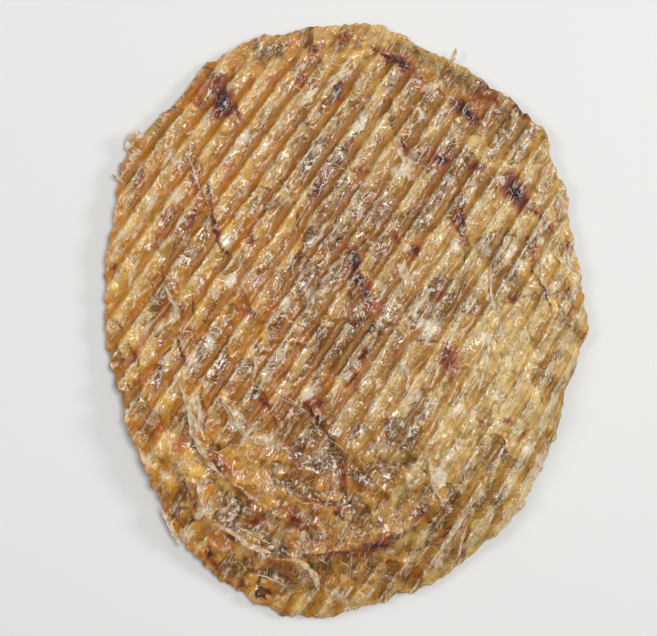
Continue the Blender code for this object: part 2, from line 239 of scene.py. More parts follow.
# Smooth, clear brown windows without crumpled skin, in the same terms.
CLEAR = [
    (-26, 50, 5.5, 4.4, 30, 1.0), (5, -9, 6, 3.4, 56, 0.7), (-4, -18, 6, 3.2, 56, 0.6),
    (-13, -15, 6, 3, 56, 0.6), (-9, 48, 6, 2.6, 50, 0.8), (4, 77, 7, 2, 56, 0.7), (22, 56, 5, 3, 56, 0.7),
    (-24, -96, 4, 6, 0, 0.8), (-40, 84, 5, 2, 56, 0.7), (-55, 84, 6, 2, 56, 0.7),
    (-47, 88, 6, 2.4, 56, 0.6), (60, 84, 6, 3, 56, 0.6), (-46, -74, 8, 4, -20, 0.7),
    (-20, -66, 9, 4, -30, 0.6), (3, -72, 6, 5, 0, 0.5), (6, -82, 5, 4, 0, 0.6), (-28, -107, 7, 3, 0, 0.7),
    (-4, -108, 7, 3, 0, 0.7), (45, -25, 5, 4, 0, 0.6), (66, 12, 3, 5, 0, 0.5), (58, 24, 6, 2.4, 56, 0.6),
    (75, 50, 5, 4, 0, 0.5), (-85, 62, 8, 2.6, 56, 0.7), (-60, 12, 7, 3, 56, 0.7),
    (-50, 7, 7, 2.4, 56, 0.6), (-78, 24, 5, 3, 56, 0.6), (97, -2, 5, 6, 0, 0.6), (92, 4, 4, 6, 0, 0.5),
    (40, 118, 10, 3, -35, 0.6), (85, 76, 7, 3, 56, 0.6),
]
# Parts where the press left few ridges, in the same terms.
UNPRESSED = [
    (45, 112, 34, 9, -35, 0.9), (-66, -66, 28, 20, -50, 0.8), (-45, -92, 26, 16, -35, 0.7),
    (88, 82, 14, 5, -52, 0.5), (-40, 118, 22, 8, 25, 0.7), (45, -112, 26, 7, 35, 0.5),
    (94, 0, 8, 12, 0, 0.7), (10, -112, 30, 12, 5, 0.5),
]
# Broad parts that are thick and brown, in the same terms.
BROWNED = [
    (0, 20, 38, 44, 0, 0.65), (-15, -66, 34, 18, -20, 0.6), (-12, -96, 40, 22, 0, 0.5),
    (5, 16, 16, 9, -70, 1.0), (-22, -42, 24, 12, 40, 0.9), (-20, -86, 14, 12, 0, 0.8),
    (5, -102, 22, 10, 10, 0.8), (42, 70, 18, 9, -20, 0.8), (76, 57, 12, 9, 0, 0.7),
    (-53, 98, 12, 9, 60, 0.7), (-30, -104, 16, 8, 0, 0.5), (-42, 24, 12, 16, 0, 0.4),
    (-8, 58, 16, 9, 60, 0.3), (28, -82, 16, 10, 20, 0.4), (62, 98, 20, 6, -35, 0.5),
    (-25, 20, 16, 20, 0, 0.3), (8, -12, 10, 14, 0, 0.4), (-68, 70, 6, 20, 0, 0.4), (45, -18, 8, 6, 0, 0.5),
]
# Broad parts that are thin and pale, in the same terms.
WHITENED = [
    (74, -16, 24, 26, 60, 0.8), (52, -48, 30, 14, 56, 0.8), (-88, 56, 24, 10, 60, 0.6),
    (-68, -46, 14, 22, 0, 0.85), (96, -4, 10, 28, 0, 0.8), (-92, 0, 22, 12, 60, 0.8),
    (36, 0, 12, 10, 50, 0.7), (-45, 60, 14, 12, 50, 0.3), (22, 98, 14, 10, 0, 0.5),
    (-96, 16, 10, 34, 0, 0.8), (75, -60, 20, 12, 60, 0.6), (62, 30, 14, 12, 56, 0.5),
    (-84, -66, 16, 10, -50, 0.5),
]

# Loose strips of pale skin: points along the strip (mm), width, how far the loose side lifts (mm).
STRIPS = [
    ([(-73, -28), (-70, -34), (-68, -41), (-67, -49), (-64, -56), (-59, -63), (-53, -69)], 2.4, 1.2),
    ([(-66, -30), (-64, -37), (-64, -45), (-62, -52)], 1.6, 0.9),
    ([(-79, 15), (-77, 10), (-74, 6), (-74, 1), (-78, -1), (-84, -5), (-87, -10)], 2.2, 0.8),
    ([(-65, -70), (-64, -76), (-62, -82)], 2.4, 1.0),
    ([(-66, -87), (-63, -83), (-61, -80)], 3.6, 0.5),
    ([(-82, -82), (-79, -87), (-76, -93), (-73, -99)], 2.0, 0.7),
    ([(-54, -36), (-51, -40), (-48, -45), (-44, -50), (-39, -53.5), (-34, -53)], 2.0, 0.7),
    ([(-10, 101), (-6, 105), (-1, 109), (3, 111)], 3.0, 0.9),
    ([(22, 80), (24, 74), (27, 69), (28, 62)], 2.4, 0.9),
    ([(-53, -91), (-48, -94), (-44, -98), (-38, -100), (-33, -102)], 2.6, 1.2),
    ([(27, -20), (27.5, -25), (26.5, -30)], 1.4, 0.9),
    ([(41, -19), (39.5, -24), (37, -29)], 1.3, 0.9),
    ([(37, -62), (38, -68), (40, -75)], 2.6, 0.8),
    ([(43, -100), (46, -94), (50, -88), (54, -82)], 2.2, 1.3),
    ([(50, -104), (51, -97), (53, -90)], 1.6, 0.9),
    ([(60, 16), (56, 8), (51, 1)], 1.3, 0.7),
    ([(63, 20), (64, 10), (67, 1), (71, -6)], 1.4, 0.8),
    ([(62, -4), (63, -12), (61, -22), (58, -30)], 1.8, 0.8),
    ([(-12, 103), (-16, 99), (-20, 97)], 2.6, 1.1),
    ([(-43, -13), (-40, -15), (-39, -20), (-41, -27)], 1.5, 0.8),
    ([(92, 30), (97, 26), (102, 20)], 2.2, 0.8),
    ([(98, 30), (100, 24), (104, 22)], 2.0, 1.4),
    ([(84, 22), (87, 18), (90, 12)], 1.5, 1.0),
    ([(26, 27), (25, 22), (28, 17)], 2.4, 0.9),
    ([(-21, -104), (-17, -108), (-13, -113), (-12, -119)], 2.6, 0.9),
    ([(3, -117), (0, -122), (2, -128)], 1.8, 0.7),
    ([(-68, 70), (-66, 64), (-64, 58)], 1.4, 0.6),
    ([(-91, 84), (-95, 80), (-97, 76)], 4.6, 0.8),
    ([(-93, 74), (-95, 71)], 3.0, 0.6),
    ([(46, 113), (48, 117), (49, 121)], 1.6, 2.2),
    ([(-98, 61), (-103, 65)], 1.4, 0.7),
]
# Fibres and little bones: points along each (mm) and its radius (mm).
FIBRES = [
    ([(-49, -90), (-42, -93), (-37, -96), (-33, -98)], 0.55),
    ([(-25, -75), (-20, -72), (-14, -69)], 0.22),
    ([(-6, 70), (0, 66), (6, 61)], 0.2), ([(-1, 74), (1, 68), (2, 62)], 0.16),
    ([(-9, 68), (-2, 67), (4, 68)], 0.16), ([(-4, 62), (0, 66), (3, 72)], 0.14),
    ([(-48, -17), (-43, -14), (-40, -12)], 0.25), ([(-41, -13), (-39.5, -20), (-41.5, -27)], 0.3),
    ([(-39, -16), (-36, -18)], 0.2), ([(11, -67), (14, -71), (18, -75)], 0.25),
    ([(0, -56), (3, -60)], 0.25), ([(-26, 106), (-21, 103), (-17, 100)], 0.25),
    ([(-24, 96), (-18, 94), (-12, 96)], 0.25), ([(-14, 116), (-11, 110), (-11, 102)], 0.28),
    ([(-8, 119), (-6, 113), (-1, 113)], 0.25), ([(5, 8), (6, 4), (8, 0)], 0.3),
    ([(-10, 103), (-14, 96), (-18, 92)], 0.24), ([(-61, -58), (-56, -57)], 0.2),
    ([(-42, -113), (-37, -112), (-33, -114), (-27, -116)], 0.32), ([(-34, -108), (-35, -112)], 0.3),
    ([(-8, -107), (-12, -104)], 0.2), ([(3, -103), (2, -108)], 0.3), ([(18, -118), (17.5, -125)], 0.4),
    ([(-3, -105), (1, -108)], 0.2), ([(-32, -30), (-26, -33), (-20, -37), (-16, -41)], 0.25),
    ([(-30, -33), (-23, -36), (-17, -40)], 0.2), ([(-16, -47), (-14, -50)], 0.25),
    ([(-8, -51), (-2, -55), (1, -58)], 0.2), ([(16, 5), (22, 4), (28, 3)], 0.2),
    ([(20, 6), (25, 2), (28, -4)], 0.18), ([(10, -18), (16, -19), (20, -18)], 0.2),
    ([(46, 88), (50, 85)], 0.2), ([(62, 66), (65, 62)], 0.2), ([(50, 20), (55, 15), (57, 8)], 0.2),
    ([(84, 20), (88, 15)], 0.3), ([(-71, 76), (-67, 68), (-64, 64)], 0.25),
    ([(-67, 75), (-64, 69)], 0.2), ([(-57, -58), (-52, -55)], 0.2), ([(-88, 85), (-84, 81)], 0.2),
    ([(-83, 79), (-79, 83)], 0.25), ([(-60, 63), (-59, 56)], 0.2), ([(8, 90), (16, 98)], 0.18),
    ([(46, 78), (51, 79)], 0.22), ([(-76, -42), (-72, -46)], 0.2), ([(0, 130), (8, 132)], 0.25),
]
SCATTERED_FIBRES = 44
SCATTERED_FLAKES = 26
CHARRED_CURL = [(-33, -121), (-34, -119), (-37, -118), (-39.5, -119.5), (-39.5, -121.5), (-37, -121.5)]


# ---------------------------------------------------------------- shapes over the plan


def closed_curve(points, steps=24):
    """A smooth closed curve through the points, as an array of points on it."""
    p = np.array(points, float)
    before, after, beyond = np.roll(p, 1, 0), np.roll(p, -1, 0), np.roll(p, -2, 0)
    curve = []
    for u in np.linspace(0, 1, steps, endpoint=False):
        curve.append(0.5 * (2 * p + (after - before) * u
                            + (2 * before - 5 * p + 4 * after - beyond) * u**2
                            + (3 * p - before - 3 * after + beyond) * u**3))
    return np.stack(curve, 1).reshape(-1, 2)


def perlin(x, y, wavelength, layer=0.0):
    """Smooth noise from about -1 to 1 at each point; the same layer gives the same noise."""
    points = np.stack([np.ravel(x), np.ravel(y)], 1) / wavelength
    return np.array([noise.noise((a, b, layer)) for a, b in points.tolist()]).reshape(np.shape(x)) * 1.6


def creases(x, y, wavelength, layer):
    """Noise with sharp winding crests, from 0 between them to 1 on them."""
    return np.clip(1 - np.abs(perlin(x, y, wavelength, layer)) * 1.7, 0, 1) ** 1.5


def cells(x, y, wavelength, layer):
    """Uneven cells: how deep inside its cell a point lies, 0 on the border, and a number per cell."""
    depth, chance = [], []
    for a, b in zip((np.ravel(x) / wavelength).tolist(), (np.ravel(y) / wavelength).tolist()):
        far, seeds = noise.voronoi((a, b, layer))
        depth.append(far[1] - far[0])
        chance.append(math.sin(seeds[0][0] * 91.7 + seeds[0][1] * 47.3) * 4375.85 % 1.0)
    return np.array(depth).reshape(np.shape(x)), np.array(chance).reshape(np.shape(x))


def smooth(low, high, value):
    """0 below low and 1 above high, easing in between."""
    share = np.clip((value - low) / (high - low), 0, 1)
    return share * share * (3 - 2 * share)


def rim_table(waves, directions=4096):
    """Radius of the torn rim in evenly spaced directions, starting at -180 degrees."""
    curve = closed_curve(RIM_POINTS) * MM
    turn = np.arctan2(curve[:, 1], curve[:, 0])
    order = np.argsort(turn)
    angle = np.linspace(-math.pi, math.pi, directions, endpoint=False)
    radius = np.interp(angle, turn[order], np.hypot(*curve.T)[order], period=2 * math.pi)
    x, y = radius * np.cos(angle), radius * np.sin(angle)
    for wavelength, height in waves:
        radius = radius + height * perlin(x, y, wavelength, 7.3)
    return angle, radius


FORM_RIM = rim_table(RIM_WAVES)
TORN_RIM = rim_table(RIM_WAVES + FRINGE_WAVES)


def rim_radius(angle, table=FORM_RIM):
    """Distance from the origin to the rim in each direction."""
    return np.interp(angle, *table, period=2 * math.pi)


def bump(angle, direction, width):
    """1 in the given direction, falling to 0 on both sides of it."""
    off = np.angle(np.exp(1j * (angle - direction)))
    return np.exp(-((off / width) ** 2))


def dome(x, y):
    """Height of the sheet's middle surface, before ridges and lumps."""
    angle = np.arctan2(y, x)
    share = np.clip(np.hypot(x, y) / rim_radius(angle), 0, 1)
    power = CAMBER + (STEEP_CAMBER - CAMBER) * bump(angle, STEEP_SIDE, STEEP_WIDTH)
    height = CROWN * (1 - share**power)
    for direction, width, lift in RIM_LIFTS:
        height = height + lift * MM * share**2 * bump(angle, math.radians(direction), math.radians(width))
    return height


def from_path(x, y, path):
    """Distance from each point to a path of points in millimetres, negative on its right-hand side."""
    nearest = np.full(np.shape(x), 1.0)
    points = np.array(path) * MM
    for (ax, ay), (bx, by) in zip(points, points[1:]):
        dx, dy = bx - ax, by - ay
        at = np.clip(((x - ax) * dx + (y - ay) * dy) / (dx**2 + dy**2), 0, 1)
        away = np.hypot(x - ax - at * dx, y - ay - at * dy)
        left = (y - ay) * dx - (x - ax) * dy > 0
        nearest = np.where(away < np.abs(nearest), np.where(left, away, -away), nearest)
    return nearest


def ridge_wave(phase):
    """1 on a crest and 0 in a trough, for a position counted in ridges."""
    part = phase - np.floor(phase)
    falling = 0.5 + 0.5 * np.cos(math.pi * part / TROUGH)
    rising = 0.5 - 0.5 * np.cos(math.pi * (part - TROUGH) / (1 - TROUGH))
    return np.where(part < TROUGH, falling, rising)


def ridges_left(x, y):
    """How far the press marked the fish at each point, from 0 to 1."""
    left = np.ones(np.shape(x))
    for (cx, cy), (rx, ry), lost in WEAK_RIDGES:
        away = ((x - cx) / rx) ** 2 + ((y - cy) / ry) ** 2
        left = left * (1 - lost * np.exp(-(away**2)))
    return left


def to_plan(across, along):
    """Turns distances across and along the ridges into positions."""
    c, s = math.cos(RIDGE_ANGLE), math.sin(RIDGE_ANGLE)
    return across * s + along * c, along * s - across * c


def walk_across(phases, along):
    """Distance across for each column (a position in ridges) and each distance along."""
    start = int(np.argmin(np.abs(phases)))
    table = np.full((len(phases), len(along)), RIDGE_SHIFT)
    for way in (1, -1):
        column = start
        while 0 <= column + way < len(phases):
            flat = (phases[column + way] - phases[column]) * RIDGE_PITCH / (1 + RIDGE_FAN * along)
            middle, small = table[column] + flat / 2, 0.5 * MM
            rise = dome(*to_plan(middle + small, along)) - dome(*to_plan(middle - small, along))
            table[column + way] = table[column] + flat / np.hypot(1, rise / (2 * small))
            column += way
    return table


def inside(across, along):
    """How far inside the torn rim a point lies, negative outside it."""
    x, y = to_plan(across, along)
    return rim_radius(np.arctan2(y, x), TORN_RIM) - np.hypot(x, y)


def out_to_rim(across, along, way):
    """Moves the points of a column across until they meet the rim; the way is 1 or -1."""
    near, far = np.zeros(len(across)), np.full(len(across), LAST_REACH)
    for _ in range(20):
        middle = (near + far) / 2
        outside = inside(across + way * middle, along) < 0
        near, far = np.where(outside, near, middle), np.where(outside, middle, far)
    return across + way * near


def lay_out():
    """Grid of positions across, along and in ridges that fills the rim; its columns follow the ridges."""
    phases = np.arange(-16 * COLUMNS_PER_RIDGE, 16 * COLUMNS_PER_RIDGE + 1) / COLUMNS_PER_RIDGE
    along = np.linspace(-150 * MM, 150 * MM, 1201)
    columns = []
    for phase, across in zip(phases, walk_across(phases, along)):
        depth = inside(across, along)
        within = np.flatnonzero(depth > 0)
        if len(within) < 2 or along[within[-1]] - along[within[0]] < SHORTEST_COLUMN:
            continue
        first, last = within[0], within[-1]
        low = np.interp(0, depth[[first - 1, first]], along[[first - 1, first]])
        high = np.interp(0, depth[[last + 1, last]], along[[last + 1, last]])
        spread = np.linspace(low, high, ROWS)
        columns.append((np.interp(spread, along, across), spread, np.full(ROWS, phase)))
    across, along, phase = (np.array(c) for c in zip(*columns))
    across[0] = out_to_rim(across[0], along[0], -1)
    across[-1] = out_to_rim(across[-1], along[-1], 1)
    return across, along, phase


def spots(x, y, rows):
    """The strongest of the listed spots at each point; each fades out at SPOT_FADE times its half sizes."""
    wx = x + perlin(x, y, 6 * MM, 31) * 1.5 * MM + perlin(x, y, 2.4 * MM, 32) * 0.6 * MM
    wy = y + perlin(x, y, 6 * MM, 33) * 1.5 * MM + perlin(x, y, 2.4 * MM, 34) * 0.6 * MM
    found = np.zeros(np.shape(x))
    for cx, cy, long, wide, turn, strength in rows:
        c, s = math.cos(math.radians(turn)), math.sin(math.radians(turn))
        u = ((wx - cx * MM) * c + (wy - cy * MM) * s) / (long * MM)
        v = ((wy - cy * MM) * c - (wx - cx * MM) * s) / (wide * MM)
        found = np.maximum(found, strength * (1 - smooth(0.0, SPOT_FADE, np.hypot(u, v))))
    return found


# ---------------------------------------------------------------- the sheet


class Sheet:
    """Everything that is known at each point of the sheet's grid."""

    def __init__(self, x, y, along, phase):
        self.x, self.y, self.along, self.phase = x, y, along, phase
        part = phase - np.floor(phase)
        self.ridge = np.floor(phase + 0.12)
        self.pressed = ridges_left(x, y) * (1 - spots(x, y, UNPRESSED))
        off = part - PAD_MIDDLE
        self.pad = 1 - smooth(0.26, 0.5, np.abs(off - np.round(off)))
        self.rim = np.clip(rim_radius(np.arctan2(y, x), TORN_RIM) - np.hypot(x, y), 0, None)
        self.roast = spots(x, y, ROASTED)
        self.blush = spots(x, y, BLUSHED)
        self.pale = spots(x, y, PALE)
        self.clear = spots(x, y, CLEAR)
        self.browned = spots(x, y, BROWNED)
        self.whitened = spots(x, y, WHITENED)
        self.panes = smooth(-10 * MM, 50 * MM, x - 0.6 * y) * (1 - smooth(10 * MM, 50 * MM, y))
        wx = x + perlin(x, y, 9 * MM, 41) * 2.6 * MM
        wy = y + perlin(x, y, 9 * MM, 42) * 2.6 * MM
        self.slab, self.chance = cells(wx * 1.3, wy, SLAB_SIZE, 1.7)
        across = phase * RIDGE_PITCH + perlin(x, y, 7 * MM, 46) * 1.6 * MM
        ahead = along * 0.45 + perlin(x, y, 7 * MM, 47) * 1.6 * MM
        self.coarse = cells(across, ahead, COARSE_PUCKER, 3.1)
        self.middle = cells(across, ahead, FINE_PUCKER, 4.6)
        self.lumps = cells(wx, wy, LOOSE_LUMP, 5.2)
        self.pinch, self.tone = self.pads()
        self.foot, self.lip, self.seam_height = self.seams()
        self.relief = self.fine_relief()

    def pads(self):
        """Each ridge is a row of pads: how near its ends a point lies, 1 at an end, and a number per pad."""
        ridge = self.ridge
        slant = (self.phase - ridge) * (np.sin(ridge * 12.9) * 0.5)
        run = self.along / PAD_LENGTH + np.sin(ridge * 78.2) * 43.7 + slant
        run = run + 0.25 * perlin(self.x, self.y, 30 * MM, 45)
        pad = np.floor(run)
        tone = np.sin(pad * 91.3 + ridge * 47.9) * 437.58
        end = np.abs(run - np.round(run))
        return np.exp(-((end / 0.11) ** 2)), tone - np.floor(tone)

    def seams(self):
        """Darkness at the feet of the overlapping edges, cracks with painted shade; paleness of their lips,
        partly a painted highlight; and their height.
        """
        x = self.x + perlin(self.x, self.y, 4 * MM, 43) * 0.7 * MM
        y = self.y + perlin(self.x, self.y, 4 * MM, 44) * 0.7 * MM
        foot, lip, height = np.zeros(x.shape), np.zeros(x.shape), np.zeros(x.shape)
        for path, high, wide, dark, pale in SEAMS:
            away = from_path(x, y, path)
            scale = np.where(away > 0, wide * MM, 0.5 * MM)
            height = np.maximum(height, high * MM * np.exp(-((away / scale) ** 2)))
            foot = np.maximum(foot, dark * np.clip(1 - np.abs(away + 0.5 * MM) / (2.2 * MM), 0, 1))
            lip = np.maximum(lip, pale * np.clip(1 - np.abs(away - 0.7 * MM) / (2.2 * MM), 0, 1))
        return foot, lip, height

    def fine_relief(self):
        """Pillows of crumpled skin, slab edges, panes, sunken roasted spots and overlapping edges."""
        x, y = self.x, self.y
        smoothed = 1 - 0.75 * np.clip(self.clear, 0, 1)
        rough = (0.35 + 0.65 * np.maximum(self.pad, 1 - self.pressed)) * smoothed
        coarse = 0.6 * smooth(0, 0.6, self.coarse[0]) - 0.4 + 0.5 * (self.coarse[1] - 0.5)
        middle = 0.2 * smooth(0, 0.6, self.middle[0]) - 0.1 + 0.14 * (self.middle[1] - 0.5)
        height = rough * (coarse + middle) * MM
        lip = np.exp(-((self.slab / 0.05) ** 2)) * np.where(self.chance > 0.4, 0.3, -0.3)
        height = height + (lip + 0.4 * (self.chance - 0.5) * smooth(0.0, 0.1, self.slab)) * MM
        lumps = 1.2 * smooth(0, 0.7, self.lumps[0]) - 0.6 + 0.7 * (self.lumps[1] - 0.5)
        height = height + (1 - self.pressed) * smoothed * lumps * MM
        shift = self.ridge * 2.3 * MM + 1.2 * MM * perlin(x, y, 9 * MM, 66)
        pane = np.abs(np.sin(math.pi * (self.along + shift) / PANE_LENGTH))
        marked = self.panes * smooth(-0.2, 0.5, perlin(x, y, 18 * MM, 48))
        height = height - 0.35 * MM * marked * np.exp(-((pane / 0.25) ** 2))
        return height - 0.4 * MM * np.clip(self.roast, 0, 1) + self.seam_height

    def top(self):
        """Height of the top face."""
        x, y = self.x, self.y
        share = self.pressed * (0.92 + 0.25 * perlin(x, y, 26 * MM, 2.1))
        uneven = 1 + 0.35 * perlin(x, y, 15 * MM, 60) + 0.25 * perlin(x, y, 8 * MM, 61)
        share = share * np.clip(uneven, 0.3, 1.35) * (1 - 0.4 * creases(x, y, 17 * MM, 68))
        share = share * (0.85 + 0.3 * self.tone) * (1 - 0.4 * self.pinch)
        wobble = 0.09 * perlin(x, y, 13 * MM, 62) + 0.05 * perlin(x, y, 5 * MM, 69)
        wobble = wobble + 0.08 * (self.tone - 0.5)
        height = dome(x, y) + RIDGE_DEPTH * share * ridge_wave(self.phase + wobble)
        height = height + FOLD_HEIGHT * np.exp(-((from_path(x, y, FOLD) / FOLD_WIDTH) ** 2))
        for layer, (wavelength, size) in enumerate(LUMPS):
            height = height + size * perlin(x, y, wavelength, layer)
        crumpled = 1.0 * perlin(x, y, 10 * MM, 63) + 0.8 * creases(x, y, 12 * MM, 64)
        height = height + (1 - self.pressed) * crumpled * MM
        frill = np.exp(-self.rim / FRILL_WIDTH) * perlin(x, y, 7 * MM, 67) * FRILL_HEIGHT
        return height + self.relief + frill

    def under(self, top):
        """Height of the underside, which follows the ridges but is smoother."""
        thin = np.exp(-self.rim / RIM_TAPER)
        thick = THICKNESS + (RIM_THICKNESS - THICKNESS) * thin + self.relief * 0.6 * (1 - thin)
        thick = thick + 0.25 * MM * (1 - thin) * perlin(self.x, self.y, 4 * MM, 71)
        return top - np.maximum(thick, LEAST_THICKNESS)

    def masks(self):
        """What the material reads at each point."""
        return {
            "press": self.pressed, "roast": self.roast, "blush": self.blush, "pale": self.pale,
            "clear": self.clear, "rim": self.rim, "slab": self.chance, "foot": self.foot, "lip": self.lip,
            "relief": self.relief / MM, "tone": self.tone, "browned": self.browned,
            "whitened": self.whitened,
        }


def sheet_mesh():
    """The sheet as one closed mesh with its masks as attributes, and how far it was moved."""
    across, along, phase = lay_out()
    columns, rows = across.shape
    bpy.ops.object.select_all(action="DESELECT")
    bpy.ops.mesh.primitive_grid_add(x_subdivisions=columns - 1, y_subdivisions=rows - 1, size=1)
    piece = bpy.context.object
    piece.name = piece.data.name = "pressed_filefish"
    mesh = piece.data
    grid = read(mesh.vertices, "co", 3) + 0.5
    column = np.rint(grid[:, 0] * (columns - 1)).astype(int)
    row = np.rint(grid[:, 1] * (rows - 1)).astype(int)
    along, phase = along[column, row], phase[column, row]
    x, y = to_plan(across[column, row], along)
    sheet = Sheet(x, y, along, phase)
    top = sheet.top()

    heights = {"top_height": top, "under_height": sheet.under(top)}
    for name, values in {**heights, **sheet.masks()}.items():
        mesh.attributes.new(name, "FLOAT", "POINT").data.foreach_set("value", values.astype(np.float32))
    mesh.attributes.new("flat", "FLOAT_VECTOR", "POINT")
    write(mesh.attributes["flat"].data, "vector", np.stack([phase * RIDGE_PITCH, along, 0 * x], 1))
    write(mesh.vertices, "co", np.stack([x, y, 0 * x], 1))

    bpy.ops.object.mode_set(mode="EDIT")
    bpy.ops.mesh.select_all(action="SELECT")
    bpy.ops.mesh.extrude_region()
    bpy.ops.object.mode_set(mode="OBJECT")
    raised = read(mesh.vertices, "select", 1)[:, 0] > 0
    places = read(mesh.vertices, "co", 3)
    flat = read(mesh.attributes["flat"].data, "vector", 3)
    top, under = (read(mesh.attributes[name].data, "value", 1)[:, 0] for name in heights)
    places[:, 2] = np.where(raised, top, under)
    flat[:, 2] = np.where(raised, 0, UNDER_SHIFT)
    low, high = places.min(0), places.max(0)
    shift = np.array([(low[0] + high[0]) / 2, (low[1] + high[1]) / 2, low[2]])
    write(mesh.vertices, "co", places - shift)
    write(mesh.attributes["flat"].data, "vector", flat)
    for name in heights:
        mesh.attributes.remove(mesh.attributes[name])

    bpy.ops.object.mode_set(mode="EDIT")
    bpy.ops.mesh.decimate(ratio=TOP_KEPT)
    bpy.ops.mesh.select_all(action="INVERT")
    bpy.ops.mesh.decimate(ratio=UNDER_KEPT)
    bpy.ops.mesh.select_all(action="SELECT")
    bpy.ops.mesh.normals_make_consistent(inside=False)
    bpy.ops.object.mode_set(mode="OBJECT")
    bpy.ops.object.shade_smooth()
    return piece, shift


def read(items, name, width):
    """One property of all the items of a mesh, as rows of numbers."""
    values = np.empty(len(items) * width, np.float32)
    items.foreach_get(name, values)
    return values.reshape(-1, width).astype(float)


def write(items, name, rows):
    items.foreach_set(name, rows.astype(np.float32).ravel())


# ---------------------------------------------------------------- loose pieces on the sheet

STRIP_STEP = 0.9  # millimetres between the rows of points along a strip
THREAD_STEP = 1.1  # the same, along a thread
STRIP_THICKNESS = 0.16 * MM
FLAKE_THICKNESS = 0.12 * MM
SCATTER_BOX = (107, 131)  # half the sheet's width and length, in millimetres
SCATTER_MARGIN = 7 * MM  # how far inside the rim a scattered piece starts
OVERHEAD = 0.1  # a height above all of the sheet
LEAST_UPRIGHT = 0.2  # upward share of a normal, below which the face is part of the rim's wall
INWARD = 0.995  # share of the distance from the middle kept at each step of a search for the rim


class Ground:
    """The sheet's top face, to lay things on."""

    def __init__(self, sheet, shift):
        self.sheet, self.shift = sheet, shift

    def height(self, x, y):
        """Height of the top face at a place in millimetres of the plan, or at the rim nearby."""
        while True:
            hit, place, normal, _ = self.sheet.ray_cast(self.point(x, y, OVERHEAD), (0, 0, -1))
            if hit and normal.z > LEAST_UPRIGHT:
                return place.z
            x, y = x * INWARD, y * INWARD

    def point(self, x, y, height):
        return Vector((x * MM - self.shift[0], y * MM - self.shift[1], height))


def even_path(path, step):
    """Points at about even steps along a path of points, and the path's direction at each."""
    points = np.array(path, float)
    runs = np.hypot(*np.diff(points, axis=0).T)
    travelled = np.concatenate([[0], np.cumsum(runs)])
    count = max(3, int(travelled[-1] / step) + 1)
    at = np.linspace(0, travelled[-1], count)
    line = np.stack([np.interp(at, travelled, points[:, k]) for k in (0, 1)], 1)
    ways = np.gradient(line, axis=0)
    return line, ways / np.hypot(*ways.T)[:, None]


def add_strip(mesh, ground, path, width, lift, rng, columns=4):
    """A crinkled strip of skin along a path, held down on its left side and lifting on its right."""
    line, ways = even_path(path, STRIP_STEP)
    seed = rng.random() * 50
    rows = []
    for k, ((x, y), (wx, wy)) in enumerate(zip(line, ways)):
        share = k / (len(line) - 1)
        taper = (math.sin(math.pi * min(max(share, 0.06), 0.94))) ** 0.45
        half = 0.5 * width * taper * (1 + 0.7 * noise.noise((k * 0.5, seed, 0)))
        row = []
        for column in range(columns + 1):
            side = column / columns * 2 - 1
            px = x + wy * half * side + 0.25 * noise.noise((k * 0.9, column, seed))
            py = y - wx * half * side + 0.25 * noise.noise((column, k * 0.9, seed))
            rise = 0.7 * lift * (0.5 + 0.5 * side) ** 1.5 * (0.6 + 0.9 * noise.noise((k * 0.45, seed, 3)))
            rise += 0.16 * noise.noise((k * 1.3, column * 1.3, seed)) + 0.3 * (1 - side**2) - 0.12
            vertex = mesh.verts.new(ground.point(px, py, ground.height(px, py) + rise * MM))
            place = (side * half * MM, k * STRIP_STEP * MM, side)
            vertex[mesh.verts.layers.float_vector["strip"]] = place
            row.append(vertex)
        rows.append(row)
    for low, high in zip(rows, rows[1:]):
        for a, b, c, d in zip(low, low[1:], high[1:], high):
            mesh.faces.new((a, b, c, d))


def skin_bmesh():
    """An empty bmesh whose points also know their place across and along their strip."""
    mesh = bmesh.new()
    mesh.verts.layers.float_vector.new("strip")
    return mesh


def make_skin(name, mesh, thickness):
    """Turns a bmesh of single faces into a piece of skin with a thickness."""
    piece = new_piece(name, mesh)
    piece.modifiers.new("thickness", "SOLIDIFY").thickness = thickness
    piece.modifiers["thickness"].offset = 0
    bpy.ops.object.modifier_apply(modifier="thickness")
    bpy.ops.object.mode_set(mode="EDIT")
    bpy.ops.mesh.select_all(action="DESELECT")
    bpy.ops.mesh.edges_select_sharp(sharpness=math.radians(50))
    bpy.ops.mesh.mark_sharp()
    bpy.ops.object.mode_set(mode="OBJECT")
    bpy.ops.object.shade_smooth()
    return piece


def new_piece(name, mesh):
    """A piece at the origin from a bmesh, selected and active."""
    bpy.ops.object.select_all(action="DESELECT")
    bpy.ops.mesh.primitive_plane_add()
    piece = bpy.context.object
    piece.name = piece.data.name = name
    bmesh.ops.recalc_face_normals(mesh, faces=mesh.faces)
    mesh.to_mesh(piece.data)
    mesh.free()
    return piece


def skin_strips(ground):
    rng = random.Random(11)
    mesh = skin_bmesh()
    for path, width, lift in STRIPS:
        add_strip(mesh, ground, path, width, lift, rng)
    return make_skin("loose_strips", mesh, STRIP_THICKNESS)


def random_place(rng):
    """A place well inside the rim, in millimetres of the plan."""
    while True:
        x, y = (rng.uniform(-half, half) for half in SCATTER_BOX)
        if math.hypot(x, y) * MM < rim_radius(math.atan2(y, x)) - SCATTER_MARGIN:
            return x, y


def bent_path(rng, start, turn, lengths, bends):
    """A bent path of three points from a start, with a random length and a bend as a share of it."""
    x, y = start
    length = rng.uniform(*lengths)
    bend = rng.uniform(*bends) * length
    c, s = math.cos(turn), math.sin(turn)
    end = (x + c * length, y + s * length)
    return [start, ((x + end[0]) / 2 - s * bend, (y + end[1]) / 2 + c * bend), end]


